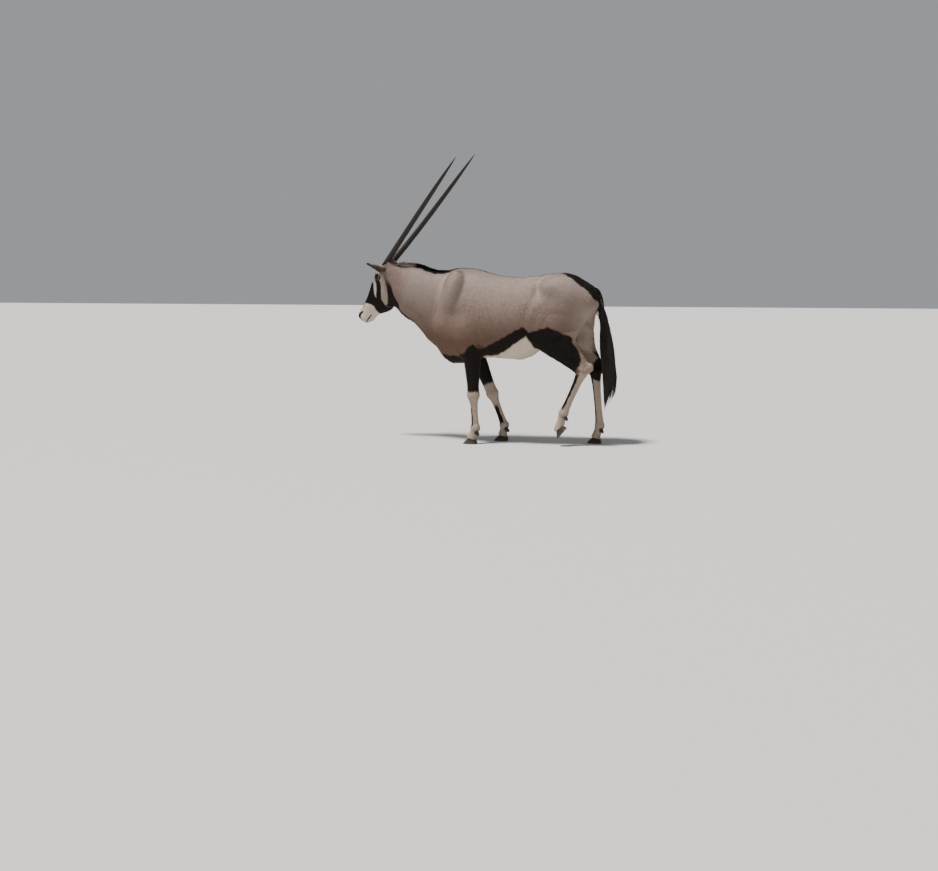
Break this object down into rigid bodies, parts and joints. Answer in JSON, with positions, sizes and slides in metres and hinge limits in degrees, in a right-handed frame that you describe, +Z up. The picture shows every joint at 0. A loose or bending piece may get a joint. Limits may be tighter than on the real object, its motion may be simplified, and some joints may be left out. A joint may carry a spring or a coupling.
{
  "type": "gemsbok",
  "caption": "Life-size still model of a walking gemsbok, with long straight ringed horns, a short mane, a black and white face and a long dark tail.",
  "frame": {"origin": "on the floor, under the middle of the whole animal's box", "axes": "+Z up, -X the way the animal walks, -Y its left side"},
  "size_m": [1.8318, 0.484, 1.9371],
  "materials": {
    "coat": "short flat hair, grey fawn with black and white markings",
    "tail_hair": "long coarse black-brown hair",
    "horn": "dark ringed horn, smooth and slightly glossy towards the tip",
    "hoof": "dull dark hoof horn",
    "eye": "wet, glossy, dark brown"
  },
  "bodies": {
    "root": {"foreleg_left": "coat", "foreleg_right": "coat", "hindleg_left": "coat", "hindleg_right": "coat", "torso": "coat", "neck": "coat", "head": "coat", "tail": "tail_hair", "eye_left": "eye", "horn_left": "horn", "ear_left": "coat", "eye_right": "eye", "horn_right": "horn", "ear_right": "coat", "hoof_fore_left_outer": "hoof", "dewclaw_fore_left_outer": "hoof", "hoof_fore_left_inner": "hoof", "dewclaw_fore_left_inner": "hoof", "hoof_fore_right_outer": "hoof", "dewclaw_fore_right_outer": "hoof", "hoof_fore_right_inner": "hoof", "dewclaw_fore_right_inner": "hoof", "hoof_hind_left_outer": "hoof", "dewclaw_hind_left_outer": "hoof", "hoof_hind_left_inner": "hoof", "dewclaw_hind_left_inner": "hoof", "hoof_hind_right_outer": "hoof", "dewclaw_hind_right_outer": "hoof", "hoof_hind_right_inner": "hoof", "dewclaw_hind_right_inner": "hoof"}
  },
  "joints": []
}
